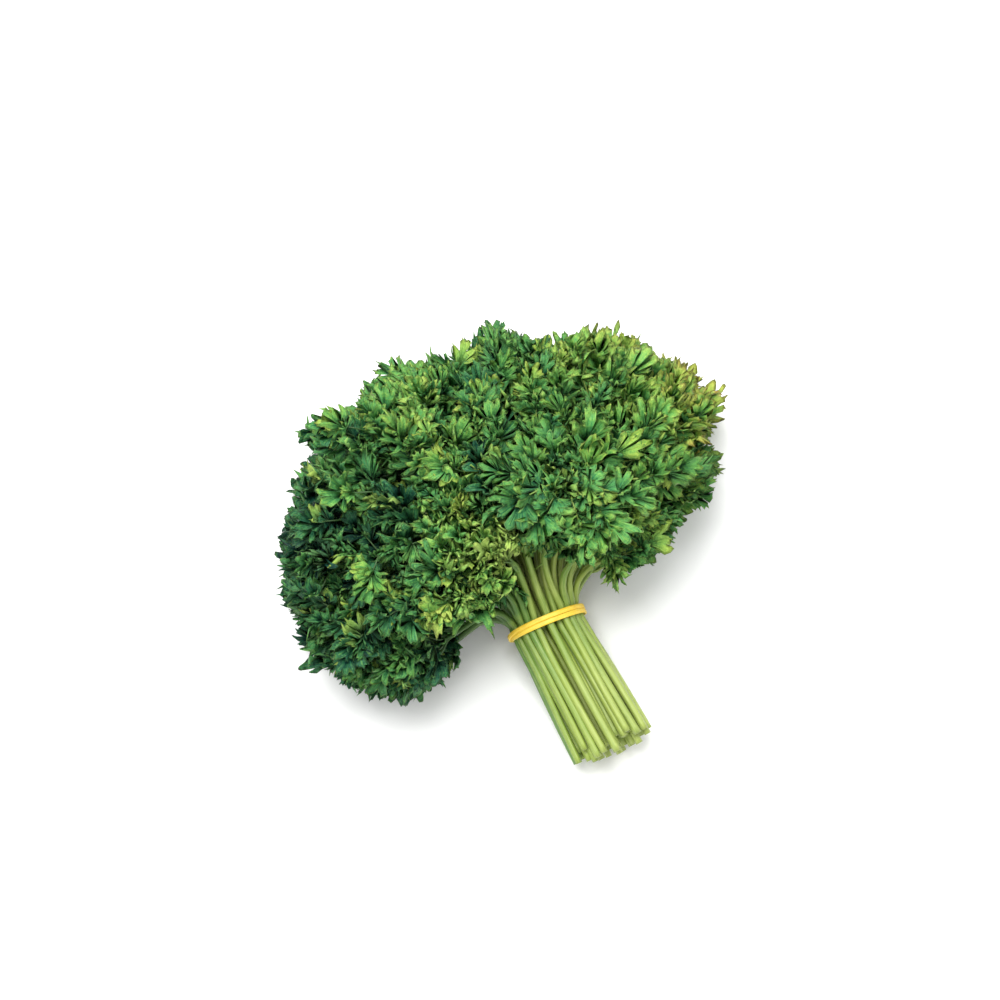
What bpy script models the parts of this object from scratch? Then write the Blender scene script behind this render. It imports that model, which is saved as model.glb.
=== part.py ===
# A bunch of curly parsley, tied with a rubber band and lying on a table.
# Every sprig grew as one piece: a stem that runs up through the band, bends out of the neck and
# ends in a crown of curled leaves. A crown is a plain closed solid here, as large as its leaves.
# X is the photograph's right, Y its top and Z the height above the table.

import math

import bmesh
import bpy
import numpy as np
from mathutils import Matrix, Vector

# Driving dimensions, in metres and degrees
STEM_RADIUS = 0.0015
STEM_SPACING = 0.0034  # between the middles of two neighbouring stems
BUNDLE_HALF_WIDTH = 0.0152  # of the ellipse that holds the middles of the tied stems
BUNDLE_HALF_HEIGHT = 0.0112
STEM_BELOW_BAND = 0.062
CUT_UNEVENNESS = 0.004
BAND_HEIGHT = 0.0215  # middle of the band above the table
CUT_END_HEIGHT = 0.0145  # middle of the cut ends above the table
CUT_END_SPREAD = 1.15  # how much wider the bundle is there than at the band
BAND_WIDTH = 0.0044
BAND_THICKNESS = 0.0011
BAND_CLEARANCE = 0.0004
BAND_SEGMENTS = 48

LOWER_STEMS_HEADING = 118.0  # anticlockwise from +X, seen from above
NECK_HEADING = 112.0
NECK_RISE = 8.0  # slope of the stems at the band
NECK_LENGTH = 0.020  # from the band to the point that the crowns fan out from
FAN_RADIUS = 0.030  # where a bent stem has reached its own direction
STEM_LEAN = 0.42  # share of its span over which a bent stem keeps the way that it came
STEM_STEPS = 24  # points along a bent stem while the stems make room
STEPS_PER_RING = 3
SIDES = 8  # of a stem and of a crown

FAN_FROM, FAN_TO = 8.0, 218.0  # headings of the outermost crowns
FAN_ROWS = (-8.0, 9.0, 26.0, 43.0, 60.0, 76.0)  # how steeply each row of crowns rises
CROWN_PITCH = 17.6  # angle between neighbouring crowns
CROWN_JITTER = 2.0
CROWN_HALF_ANGLE = 12.5  # the most that a crown spreads from its own direction
CROWN_GAP = 0.0007
CROWN_START = 0.29  # share of its reach where a crown leaves its bare stem

# Heading and reach of the leaves from the neck, seen from above
REACH_OUTLINE = (
    (0.0, 0.050), (10.0, 0.058), (20.0, 0.080), (30.0, 0.106), (42.0, 0.123), (70.0, 0.125),
    (98.0, 0.114), (128.0, 0.120), (145.0, 0.126), (172.0, 0.120), (198.0, 0.112), (230.0, 0.076),
)  # fmt: skip
# Rise and share of that reach, so that the head is a dome over the neck
REACH_BY_RISE = ((0.0, 1.0), (25.0, 0.96), (45.0, 0.80), (60.0, 0.62), (75.0, 0.46), (90.0, 0.38))

# How a crown swells from its stem to its rounded top: share of its length, share of its spread
CROWN_PROFILE = ((0.14, 0.68), (0.40, 0.96), (0.74, 1.0), (0.91, 0.86), (1.0, 0.50))
CROWN_DOME = 0.10  # how much lower a crown is at its rim than in its middle

# How long and how firmly the stems push each other apart, in the band and above it
TIED_ROUNDS, TIED_PUSH = 800, 0.3
BENT_ROUNDS, BENT_PUSH, BENT_SMOOTHING = 110, 0.25, 0.25

STEM_COLOUR = (0.30, 0.42, 0.09, 1.0)
LEAF_COLOUR = (0.045, 0.16, 0.035, 1.0)
BAND_COLOUR = (0.90, 0.55, 0.03, 1.0)


def heading(degrees, rise=0.0):
    a, e = math.radians(degrees), math.radians(rise)
    return Vector((math.cos(a) * math.cos(e), math.sin(a) * math.cos(e), math.sin(e)))


band_middle = Vector((0.0, 0.0, BAND_HEIGHT))
neck_axis = heading(NECK_HEADING, NECK_RISE)
across = heading(NECK_HEADING - 90.0)
upwards = across.cross(neck_axis)
neck = band_middle + neck_axis * NECK_LENGTH
slope = math.degrees(math.asin((BAND_HEIGHT - CUT_END_HEIGHT) / STEM_BELOW_BAND))
lower_axis = heading(LOWER_STEMS_HEADING, slope)


def material(name, colour, roughness):
    made = bpy.data.materials.new(name)
    made.use_nodes = True
    shader = made.node_tree.nodes["Principled BSDF"]
    shader.inputs["Base Color"].default_value = colour
    shader.inputs["Roughness"].default_value = roughness
    return made


# The headings and rises of all crowns, in rows from the table to the top of the head
def crown_directions():
    draw = np.random.default_rng(7)
    found = []
    for row, rise in enumerate(FAN_ROWS):
        span = (FAN_TO - FAN_FROM) * math.cos(math.radians(rise))
        count = round(span / CROWN_PITCH) + (1 if row % 2 == 0 else 0)
        for i in range(count):
            share = (i + 0.5) / count if row % 2 else i / (count - 1)
            turn = FAN_FROM + (FAN_TO - FAN_FROM) * share
            sway = draw.uniform(-1, 1, 2) * CROWN_JITTER
            found.append((turn + sway[0], rise + sway[1]))
    return found


def pushed_apart(points, groups, wanted, strength):
    apart = points[:, None] - points[None]
    distance = np.linalg.norm(apart, axis=2)
    near = (distance < wanted) & (groups[:, None] != groups[None])
    push = np.where(near, wanted - distance, 0) / np.maximum(distance, 1e-9)
    return points + strength * (apart * push[..., None]).sum(axis=1)


# Where each stem passes through the band: a stem lies on the side that its crown leans to
def tied_section(directions):
    middle, half = (FAN_FROM + FAN_TO) / 2, (FAN_TO - FAN_FROM) / 2
    low, high = FAN_ROWS[0], FAN_ROWS[-1]
    wanted = []
    for turn, rise in directions:
        x = max(-1.0, min(1.0, (middle - turn) / half))
        y = max(-1.0, min(1.0, (rise - low) / (high - low) * 2 - 1))
        wanted.append((x * math.sqrt(1 - y * y / 2), y * math.sqrt(1 - x * x / 2)))
    ellipse = np.array((BUNDLE_HALF_WIDTH, BUNDLE_HALF_HEIGHT))
    places = np.array(wanted) * ellipse
    for _ in range(TIED_ROUNDS):
        places = pushed_apart(places, np.arange(len(places)), STEM_SPACING, TIED_PUSH)
        outside = np.maximum(1.0, np.linalg.norm(places / ellipse, axis=1))
        places = places / outside[:, None]
    return places


def reach(direction):
    turn = math.degrees(math.atan2(direction.y, direction.x))
    if turn < -90:
        turn += 360
    rise = math.degrees(math.asin(max(-1.0, min(1.0, direction.z))))
    flat = np.interp(turn, *zip(*REACH_OUTLINE))
    return float(flat * np.interp(abs(rise), *zip(*REACH_BY_RISE)))


# The bent stems between the band and their crowns. They start as smooth curves, then make room.
def bent_stems(places, ways):
    courses = []
    for (x, y), own in zip(places, ways):
        start = band_middle + across * x + upwards * y + neck_axis * BAND_WIDTH
        end = neck + own * FAN_RADIUS
        lean = (end - start).length * STEM_LEAN
        a, b = start + neck_axis * lean, end - own * lean
        ts = np.linspace(0, 1, STEM_STEPS)[:, None]
        start, a, b, end = map(np.array, (start, a, b, end))
        s = 1 - ts
        courses.append(start * s**3 + a * 3 * s * s * ts + b * 3 * s * ts * ts + end * ts**3)
    courses = np.array(courses)
    groups = np.repeat(np.arange(len(courses)), STEM_STEPS)
    for _ in range(BENT_ROUNDS):
        moved = pushed_apart(courses.reshape(-1, 3), groups, STEM_SPACING, BENT_PUSH)
        courses[:, 1:-1] = moved.reshape(courses.shape)[:, 1:-1]
        pull = courses[:, 2:] + courses[:, :-2] - 2 * courses[:, 1:-1]
        courses[:, 1:-1] += BENT_SMOOTHING * pull
    return courses


def square_to(direction, first):
    first = (first - direction * first.dot(direction)).normalized()
    return first, direction.cross(first)


def side_ways(first, second):
    turns = [2 * math.pi * side / SIDES for side in range(SIDES)]
    return [first * math.cos(t) + second * math.sin(t) for t in turns]


# How far a crown spreads towards each of its sides, up to halfway to its neighbours
def crown_spread(own, ways, sides):
    spread = []
    for side in sides:
        widest = math.radians(CROWN_HALF_ANGLE)
        for other in ways:
            towards = (other - own).dot(side)
            if towards > 1e-9:
                widest = min(widest, math.atan2((own - other).dot(own), towards))
        spread.append(widest)
    return spread


def crown_ring(own, sides, spread, start, share_of_length, share_of_spread):
    ring = []
    for side, widest in zip(sides, spread):
        tilt = widest * share_of_spread
        top = reach(own * math.cos(tilt) + side * math.sin(tilt))
        top *= 1 - CROWN_DOME * share_of_spread**2
        distance = start + (top - start) * share_of_length
        tilt = max(0.0, tilt - CROWN_GAP / 2 / distance)
        point = neck + (own * math.cos(tilt) + side * math.sin(tilt)) * distance
        point.z = max(point.z, 0.0)
        ring.append(point)
    return ring


# One closed skin from the cut end to the top of the crown, laid ring by ring
def sprig(name, own, ways, course, cut_length, looks):
    points = [Vector(p) for p in course]
    under_band = points[0] - neck_axis * BAND_WIDTH * 2
    place = points[0] - band_middle - neck_axis * BAND_WIDTH
    cut_end = band_middle - lower_axis * cut_length + place * CUT_END_SPREAD
    stations = [(cut_end, (under_band - cut_end).normalized()), (under_band, neck_axis)]
    for k in range(0, len(points), STEPS_PER_RING):
        before, after = points[max(k - 1, 0)], points[min(k + 1, len(points) - 1)]
        stations.append((points[k], (after - before).normalized()))
    stations.append((points[-1], own))
    start = max(CROWN_START * reach(own), FAN_RADIUS + 0.002)
    stations.append((neck + own * start, own))

    rings = []
    first = across
    for point, way in stations:
        first, second = square_to(way, first)
        rings.append([point + side * STEM_RADIUS for side in side_ways(first, second)])
    sides = side_ways(first, second)
    spread = crown_spread(own, ways, sides)
    for share, spread_share in CROWN_PROFILE:
        rings.append(crown_ring(own, sides, spread, start, share, spread_share))
    peak = neck + own * reach(own)

    skin = bmesh.new()
    corners = [[skin.verts.new(p - cut_end) for p in ring] for ring in rings]
    skin.faces.new(corners[0])
    for k, (lower, upper) in enumerate(zip(corners, corners[1:])):
        for i in range(SIDES):
            j = (i + 1) % SIDES
            face = skin.faces.new((lower[i], lower[j], upper[j], upper[i]))
            face.material_index = int(k >= len(stations) - 1)
    tip = skin.verts.new(peak - cut_end)
    for i in range(SIDES):
        face = skin.faces.new((corners[-1][i], corners[-1][(i + 1) % SIDES], tip))
        face.material_index = 1
    bmesh.ops.recalc_face_normals(skin, faces=skin.faces)
    mesh = bpy.data.meshes.new(name)
    skin.to_mesh(mesh)
    skin.free()
    mesh.shade_smooth()
    mesh.set_sharp_from_angle(angle=math.radians(40))
    for look in looks:
        mesh.materials.append(look)
    made = bpy.data.objects.new(name, mesh)
    made.location = cut_end
    return made


def rubber_band(look):
    bpy.ops.mesh.primitive_cylinder_add(
        vertices=BAND_SEGMENTS, radius=1.0, depth=BAND_WIDTH, end_fill_type="NOTHING"
    )
    band = bpy.context.object
    band.name = band.data.name = "rubber_band"
    for vertex in band.data.vertices:
        vertex.co.x *= BUNDLE_HALF_WIDTH + STEM_RADIUS + BAND_CLEARANCE
        vertex.co.y *= BUNDLE_HALF_HEIGHT + STEM_RADIUS + BAND_CLEARANCE
    wall = band.modifiers.new("wall", "SOLIDIFY")
    wall.thickness = BAND_THICKNESS
    wall.offset = 1.0
    wall.use_even_offset = True
    edge = band.modifiers.new("edge", "BEVEL")
    edge.width = BAND_THICKNESS * 0.3
    edge.segments = 1
    edge.limit_method = "ANGLE"
    edge.angle_limit = math.radians(60)
    band.data.shade_smooth()
    band.data.set_sharp_from_angle(angle=math.radians(40))
    band.data.materials.append(look)
    for other in list(band.users_collection):
        other.objects.unlink(band)
    band.rotation_mode = "QUATERNION"
    band.rotation_quaternion = Matrix((across, upwards, -neck_axis)).transposed().to_quaternion()
    band.location = band_middle
    return band


def main():
    for old in list(bpy.data.objects):
        bpy.data.objects.remove(old)
    collection = bpy.data.collections.new("curly_parsley_bunch")
    bpy.context.scene.collection.children.link(collection)
    stem_look = material("parsley_stem", STEM_COLOUR, 0.45)
    leaf_look = material("parsley_leaf", LEAF_COLOUR, 0.5)
    band_look = material("yellow_rubber", BAND_COLOUR, 0.45)

    directions = crown_directions()
    ways = [heading(*d) for d in directions]
    courses = bent_stems(tied_section(directions), ways)
    draw = np.random.default_rng(11)
    made = [rubber_band(band_look)]
    for i, (own, course) in enumerate(zip(ways, courses)):
        cut = STEM_BELOW_BAND + draw.uniform(-1, 1) * CUT_UNEVENNESS
        made.append(sprig(f"sprig_{i + 1:02d}", own, ways, course, cut, (stem_look, leaf_look)))

    # The whole bunch is set down with the middle of its box over the origin
    bunch = bpy.data.objects.new("bunch", None)
    collection.objects.link(bunch)
    for each in made:
        collection.objects.link(each)
        each.parent = bunch
    bpy.context.view_layer.update()
    corners = np.array([o.matrix_world @ v.co for o in made for v in o.data.vertices])
    low, high = corners.min(axis=0), corners.max(axis=0)
    bunch.location = (-(low[0] + high[0]) / 2, -(low[1] + high[1]) / 2, -low[2])
    print(len(ways), "sprigs, box", (high - low).round(4), "shift", bunch.location[:])


main()
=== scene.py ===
import math
import random
from collections import namedtuple

import bmesh
import bpy
import numpy as np
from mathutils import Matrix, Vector
from mathutils.geometry import intersect_ray_tri


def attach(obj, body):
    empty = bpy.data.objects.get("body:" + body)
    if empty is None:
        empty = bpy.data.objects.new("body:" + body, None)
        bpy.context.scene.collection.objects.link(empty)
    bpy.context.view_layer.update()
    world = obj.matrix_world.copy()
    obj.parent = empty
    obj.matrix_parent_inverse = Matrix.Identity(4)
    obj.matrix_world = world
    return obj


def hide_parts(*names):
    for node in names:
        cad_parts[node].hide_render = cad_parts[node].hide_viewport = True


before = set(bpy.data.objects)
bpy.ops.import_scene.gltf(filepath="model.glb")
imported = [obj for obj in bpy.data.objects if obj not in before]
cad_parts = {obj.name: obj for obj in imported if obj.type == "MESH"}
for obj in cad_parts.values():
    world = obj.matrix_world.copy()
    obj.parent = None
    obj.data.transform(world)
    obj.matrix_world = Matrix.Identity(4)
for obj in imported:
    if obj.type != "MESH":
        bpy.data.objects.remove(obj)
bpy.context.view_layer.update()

scene = bpy.context.scene

# Where the bunch is tied and where its stems fan out from, as in the CAD model.
bunch = {
    "bandMiddle": Vector((0.0203168, -0.0359188, 0.0215)),
    "neckAxis": Vector((-0.37096, 0.91816, 0.13917)).normalized(),
    "neckLength": 0.020,
}
neckPoint = bunch["bandMiddle"] + bunch["neckAxis"] * bunch["neckLength"]

# The photo looks down on the table. A place in the picture is given in millimetres from the neck.
view = {
    "elevation": 74,
    "distance": 1.0,
    "scale": 0.00045,          # metres to a pixel at the band
    "pictureSize": 1000,       # in pixels
    "bandPixel": (548, 624),
    "sensor": 36,              # in millimetres
}
viewTilt = math.radians(view["elevation"])
viewRight = Vector((1, 0, 0))
viewUp = Vector((0, math.sin(viewTilt), math.cos(viewTilt)))
viewBack = Vector((0, -math.cos(viewTilt), math.sin(viewTilt)))


def seenFromAbove(p):
    off = p - neckPoint
    near = 1 / (1 - (p - bunch["bandMiddle"]).dot(viewBack) / view["distance"])
    return off.dot(viewRight) * near * 1000, off.dot(viewUp) * near * 1000


def between(table, value):
    # the value that a table of pairs has at this place
    return float(np.interp(value, *zip(*table)))


def clip(value):
    return min(1.0, max(0.0, value))


def fade(x, y, centre, wide):
    # 1 at the centre, and less with the distance from it
    return math.exp(-((x - centre[0]) ** 2 + (y - centre[1]) ** 2) / wide ** 2)


def placed(name, data):
    # a new object in the scene
    made = bpy.data.objects.new(name, data)
    scene.collection.objects.link(made)
    return made


def operator(operation, turned=False):
    # what a sign such as + or / does between two sockets
    def applied(self, other):
        return self.graph.math(operation, *((other, self) if turned else (self, other)))
    return applied


class Wire:
    # an output socket, so that sums and products of sockets read as they would on paper
    def __init__(self, graph, socket):
        self.graph, self.socket = graph, socket

    __add__ = __radd__ = operator("ADD")
    __mul__ = __rmul__ = operator("MULTIPLY")
    __sub__, __rsub__ = operator("SUBTRACT"), operator("SUBTRACT", turned=True)
    __truediv__, __rtruediv__ = operator("DIVIDE"), operator("DIVIDE", turned=True)

    def then(self, operation, *others):
        return self.graph.math(operation, self, *others)

    def clipped(self):
        return self.graph.math("ADD", self, 0.0, clamp=True)

    def step(self, low, high):
        # rises smoothly from 0 at low to 1 at high
        return self.graph.add(
            "ShaderNodeMapRange", {"interpolation_type": "SMOOTHSTEP"},
            {"Value": self, "From Min": low, "From Max": high})


class Graph:
    # a node tree, of a material or of Geometry Nodes
    def __init__(self, tree):
        self.tree = tree

    def feed(self, node, sockets):
        # links wires to the inputs of the node and sets other values, by name or in order
        shown = [socket for socket in node.inputs if socket.enabled]
        if isinstance(sockets, dict):
            pairs = [(next(s for s in shown if s.name == name), v) for name, v in sockets.items()]
        else:
            pairs = zip(shown, sockets)
        for socket, value in pairs:
            wires = value if isinstance(value, list) else [value]
            if isinstance(wires[0], Wire):
                for wire in wires:
                    self.tree.links.new(wire.socket, socket)
            else:
                socket.default_value = value

    def add(self, kind, settings=None, sockets=(), output=0):
        # makes a node and gives back an output, by number or name, or with None all of them
        node = self.tree.nodes.new(kind)
        for name, value in (settings or {}).items():
            setattr(node, name, value)
        self.feed(node, sockets)
        found = [Wire(self, socket) for socket in node.outputs if socket.enabled]
        if isinstance(output, str):
            return next(wire for wire in found if wire.socket.name == output)
        return found if output is None else found[output]

    def math(self, operation, *values, clamp=False):
        return self.add("ShaderNodeMath", {"operation": operation, "use_clamp": clamp}, values)

    def vector(self, operation, *values):
        return self.add("ShaderNodeVectorMath", {"operation": operation}, values)

    def combined(self, x, y, z=0.0):
        return self.add("ShaderNodeCombineXYZ", None, {"X": x, "Y": y, "Z": z})

    def separated(self, vector):
        return self.add("ShaderNodeSeparateXYZ", None, [vector], output=None)

    def mix(self, factor, *colours):
        first, second = ((*c, 1.0) if isinstance(c, tuple) else c for c in colours)
        return self.add("ShaderNodeMix", {"data_type": "RGBA"},
                        {"Factor": factor, "A": first, "B": second})

    def ramp(self, factor, stops):
        made = self.add("ShaderNodeValToRGB", None, [factor])
        elements = made.socket.node.color_ramp.elements
        while len(elements) < len(stops):
            elements.new(1.0)
        for element, (place, colour) in zip(elements, stops):
            element.position, element.color = place, (*colour, 1.0)
        return made


print("reading the stems and crowns of the CAD sprigs")


def ringsOf(node):
    # the CAD sprig's rings, from the cut end of its stem to the top of its crown, then its tip,
    # and its faces, each with the number of its lowest ring
    solid = bmesh.new()
    solid.from_mesh(node.data)
    bmesh.ops.remove_doubles(solid, verts=solid.verts, dist=1e-6)
    solid.verts.index_update()
    axis = bunch["neckAxis"]
    ring = sorted(solid.verts, key=lambda v: (v.co - neckPoint).dot(axis))[:cadSprig["corners"]]
    rings, seen = [], {}
    while ring:
        seen.update((v.index, len(rings)) for v in ring)
        rings.append([v.co.copy() for v in ring])
        after = {o.index: o for v in ring for o in (e.other_vert(v) for e in v.link_edges)}
        ring = [after[i] for i in sorted(after) if i not in seen]
    faces = [(min(seen[v.index] for v in face.verts), [v.co.copy() for v in face.verts])
             for face in solid.faces]
    solid.free()
    return rings, faces


def middle(points):
    return sum(points, Vector()) / len(points)


def throughPoints(points, spacing):
    # a smooth line through the points, with a point about every spacing
    line = []
    ends = [points[0] * 2 - points[1], *points, points[-1] * 2 - points[-2]]
    for a, b, c, d in zip(ends, ends[1:], ends[2:], ends[3:]):
        steps = max(1, round((c - b).length / spacing))
        for k in range(steps):
            t = k / steps
            line.append(0.5 * (2 * b + (c - a) * t + (2 * a - 5 * b + 4 * c - d) * t * t
                               + (3 * b - a - 3 * c + d) * t ** 3))
    return [*line, points[-1].copy()]


cadSprig = {
    "corners": 8,          # of a ring
    "crownRing": 12,       # the ring at which the crown begins
    "outerRing": 14,       # and the one above which its faces are its outside
}
sprigs = []
for name in sorted(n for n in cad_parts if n.startswith("sprig_")):
    rings, faces = ringsOf(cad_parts[name])
    tip = middle(rings[-1])
    stem, crown = rings[:cadSprig["crownRing"]], rings[cadSprig["crownRing"]:-1]
    sprigs.append({
        "name": name,
        "tip": tip,
        "axis": (tip - neckPoint).normalized(),
        "stem": [middle(ring) for ring in stem],
        "crown": [middle(ring) for ring in crown],
        "crownStart": (middle(crown[0]) - neckPoint).length,
        "faces": [corners for ring, corners in faces if ring >= cadSprig["crownRing"]],
        "outerFaces": [corners for ring, corners in faces if ring >= cadSprig["outerRing"]],
    })
print("  sprigs:", len(sprigs), "rings:", sorted({len(s["stem"]) + len(s["crown"]) for s in sprigs}))

print("making the leaf segments")

segmentShape = {
    "fineKinds": 12,       # small crinkled segments, most of the foliage
    "broadKinds": 4,       # flatter ones with long lobes, near the neck
    "fan": 21.0,           # degrees from one tooth to the next
    "notch": 0.68,         # how far out the teeth divide
    "broadNotch": 0.55,
    "sideNotch": 0.70,     # how much deeper it is cut beside the outer teeth
    "sideFall": 0.26,      # how much shorter the outer teeth are
    "sideReach": 0.62,     # how far the leaf goes on beside them, in steps of the fan
    "toothWidth": 1.00,    # at its widest, as a share of its foot
    # where along a tooth its shoulders and the corners of its end are, each with how far aside
    "bluntTooth": ((0.44, 0.60), 1.0, (0.84, 0.93), 0.54),
    "pointedTooth": ((0.58, 0.74), 1.12, (0.60, 0.70), 0.46),
    "pointed": 0.58,       # the share of teeth that end in three points
    "channel": 0.060,      # how deep each tooth is folded along its rib
    "cup": 0.60,
    "arch": 0.30,          # how far it bows along its length
    "crinkle": 0.32,       # how far a tooth curls out of the plane
    "ruffle": 0.10,        # how far neighbours curl to opposite sides
    "calm": (0.6, 0.3),    # how much less the broad ones crinkle and ruffle
    "thickness": 0.028,
}


def leafSegment(name, values, seed, broad):
    # a short palm that divides into a fan of blunt teeth, as a thin closed shell of unit length
    rng = random.Random(seed)
    teeth = 5 if broad else rng.choice((3, 4, 4, 5))
    step = math.radians(values["fan"] * (1.05 if broad else rng.uniform(0.88, 1.16)))
    fan = step * (teeth - 1) / 2
    angles = [-fan + step * k + rng.uniform(-0.15, 0.15) * step for k in range(teeth)]
    lengths = [1 - values["sideFall"] * abs(a / fan) ** 1.6 + rng.uniform(-0.12, 0.05) for a in angles]
    notch = values["broadNotch"] if broad else values["notch"] * rng.uniform(0.92, 1.08)
    borders = [angles[0] - step * values["sideReach"]]
    borders += [(a + b) / 2 + rng.uniform(-0.08, 0.08) * step for a, b in zip(angles, angles[1:])]
    borders += [angles[-1] + step * values["sideReach"]]
    depths = [notch * values["sideNotch"] * lengths[0]]
    depths += [notch * min(a, b) * rng.uniform(0.84, 1.12) for a, b in zip(lengths, lengths[1:])]
    depths += [notch * values["sideNotch"] * lengths[-1]]
    cup, half = values["cup"] * rng.uniform(-0.2, 1.4), values["thickness"] / 2
    arch = values["arch"] * rng.uniform(-1.0, 0.8)
    wave, waves = rng.uniform(0, math.tau), rng.uniform(2.0, 3.4)
    calm, calmer = values["calm"] if broad else (1, 1)
    crinkle, ruffle = values["crinkle"] * calm, values["ruffle"] * calmer

    solid = bmesh.new()
    edgeLayer = solid.verts.layers.float.new("edge")
    outLayer = solid.verts.layers.float.new("outward")
    underLayer = solid.faces.layers.float.new("under")
    placeLayer = solid.loops.layers.uv.new("segmentPlace")

    def point(angle, distance, lift, edge, out):
        x, y = distance * math.sin(angle), distance * math.cos(angle)
        fold = 0.11 * math.sin(waves * angle + wave) * distance
        vertex = solid.verts.new((x, y, cup * x * x + arch * y * y + fold + lift))
        vertex[edgeLayer], vertex[outLayer] = edge, out
        return vertex

    foot = point(0, 0.0, 0, 0.3, 0)
    valleys = [point(a, d, values["channel"] + rng.uniform(-0.04, 0.04), 1, 0.45)
               for a, d in zip(borders, depths)]
    for k in range(teeth):
        angle, length = angles[k], lengths[k]
        low = (depths[k] + depths[k + 1]) / 2 * 1.04
        lowAngle = (borders[k] + borders[k + 1]) / 2
        curl = crinkle * rng.uniform(-0.8, 1.25) + ruffle * (-1) ** k
        angle += rng.uniform(-0.16, 0.16) * step
        width = abs(borders[k + 1] - borders[k]) * low * 0.5 * values["toothWidth"]
        width *= rng.uniform(0.86, 1.14)

        def across(share, side, lift, edge, out):
            # a point beside the tooth's rib, at this share of the way from its foot to its end
            distance = low + (length - low) * share
            turn = lowAngle + (angle - lowAngle) * share + width * side / distance
            return point(turn, distance, curl * share ** 1.6 + lift, edge, out)

        def pair(reach, aside, lift, out):
            return [across(rng.uniform(*reach), side * aside, lift, 1, out) for side in (-1, 1)]

        ribs = [across(0.36, 0, -values["channel"] * 0.5 + offset, 0, 0.66) for offset in (half, -half)]
        pointed = rng.random() < values["pointed"]
        shoulder, wide, corner, narrow = values["pointedTooth" if pointed else "bluntTooth"]
        left, right = pair(shoulder, wide, values["channel"] * 0.7, 0.78)
        endLeft, endRight = pair(corner, narrow if pointed else narrow * calm, 0.02, 0.90)
        tip = across(1.0, 0, 0, 1, 1)
        for rib, under in zip(ribs, (False, True)):
            outlines = [
                (foot, valleys[k], left, rib), (foot, rib, right, valleys[k + 1]),
                (left, endLeft, rib), (endLeft, tip, rib), (rib, tip, endRight), (rib, endRight, right),
            ]
            for corners in outlines:
                # seen from above these run clockwise, so the upper side takes them turned round
                face = solid.faces.new(corners if under else corners[::-1])
                face[underLayer] = float(under)
                face.smooth = True
    widest = max(abs(v.co.x) for v in solid.verts)
    lowest = min(v.co.y for v in solid.verts)
    for face in solid.faces:
        # the upper side and the under side have a half of the cell each
        shift = 0.5 * face[underLayer]
        for loop in face.loops:
            u = loop.vert.co.x / widest * 0.22 + 0.25 + shift
            loop[placeLayer].uv = (u, 0.04 + 0.92 * (loop.vert.co.y - lowest) / (1.06 - lowest))
    for edge in solid.edges:
        edge.smooth = len({face[underLayer] for face in edge.link_faces}) == 1
    mesh = bpy.data.meshes.new(name)
    solid.to_mesh(mesh)
    solid.free()
    return bpy.data.objects.new(name, mesh)


segmentKinds = bpy.data.collections.new("leafSegments")
for k in range(segmentShape["fineKinds"] + segmentShape["broadKinds"]):
    broad = k >= segmentShape["fineKinds"]
    segmentKinds.objects.link(leafSegment(f"segment{k:02d}", segmentShape, 100 + k, broad))

print("making the materials")


def newMaterial(name):
    material = bpy.data.materials.new(name)
    material.use_nodes = True
    return material, Graph(material.node_tree)


def finished(material, graph, values, colour, roughness, height=None):
    # gives the shader its colour, its shine and, where there is a height, its fine relief
    sockets = {"Base Color": colour, "Roughness": roughness, "Specular IOR Level": values["specular"]}
    if height:
        sockets["Normal"] = graph.add("ShaderNodeBump", None, {
            "Strength": values["bumpStrength"], "Distance": values["bumpDepth"], "Height": height})
    graph.feed(material.node_tree.nodes["Principled BSDF"], sockets)
    return material


def attributes(graph, *names):
    return [graph.add("ShaderNodeAttribute", {"attribute_name": name}, output="Fac") for name in names]


def objectPlace(graph):
    return graph.add("ShaderNodeTexCoord", output="Object")


def roundPlace(graph, around, radius, height):
    # a place on a cylinder, so that streaks along a round piece have no seam
    turn = around * math.tau
    return graph.combined(turn.then("COSINE") * radius, turn.then("SINE") * radius, height)


def noise(graph, place, scale, detail=2.0, roughness=0.5):
    return graph.add("ShaderNodeTexNoise", None, {
        "Vector": place, "Scale": scale, "Detail": detail, "Roughness": roughness}, output=0)


def varied(value, fields, weights):
    # adds how far each field is from its middle, by its weight
    for name, weight in weights.items():
        value = value + (fields[name] - 0.5) * weight
    return value.clipped()


def layered(graph, colour, values, *layers):
    # lays each layer's colour over the ones before it, by its amount
    for amount, name in layers:
        colour = graph.mix(amount, colour, values[name])
    return colour


leafLook = {
    "cool": ((0.0, (0.002, 0.023, 0.020)), (0.30, (0.013, 0.108, 0.060)), (0.60, (0.046, 0.282, 0.098)),
             (0.85, (0.150, 0.455, 0.104)), (1.0, (0.330, 0.595, 0.135))),
    "warm": ((0.0, (0.003, 0.026, 0.015)), (0.30, (0.024, 0.130, 0.036)), (0.60, (0.110, 0.315, 0.050)),
             (0.85, (0.305, 0.460, 0.062)), (1.0, (0.500, 0.600, 0.115))),
    "underside": (0.230, 0.440, 0.110),
    # the colour of the painted highlight along the edges of the teeth
    "paintedRimHighlight": (0.460, 0.610, 0.180),
    "young": (0.500, 0.600, 0.090),
    "rib": (0.220, 0.420, 0.090),
    "vein": (0.270, 0.500, 0.100),
    "dryTip": (0.360, 0.220, 0.050),
    # how much each kind of unevenness adds to the lightness and to the warmth
    "shading": {"own": 0.20, "clouds": 0.45, "specks": 0.52, "curls": 0.34, "streaks": 0.72,
                "outward": 0.32},
    "warmth": {"patches": 0.8, "outward": 0.40, "own": 0.2},
    "cloudScale": 230,
    "patchScale": 110,
    "curlScale": 620,
    "speckScale": 1700,
    "streakScale": 5.5,
    "veinWaves": 2.5,
    "roughness": 0.34,
    "specular": 0.20,
    "bumpStrength": 0.8,
    "bumpDepth": 0.0009,
}


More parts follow.
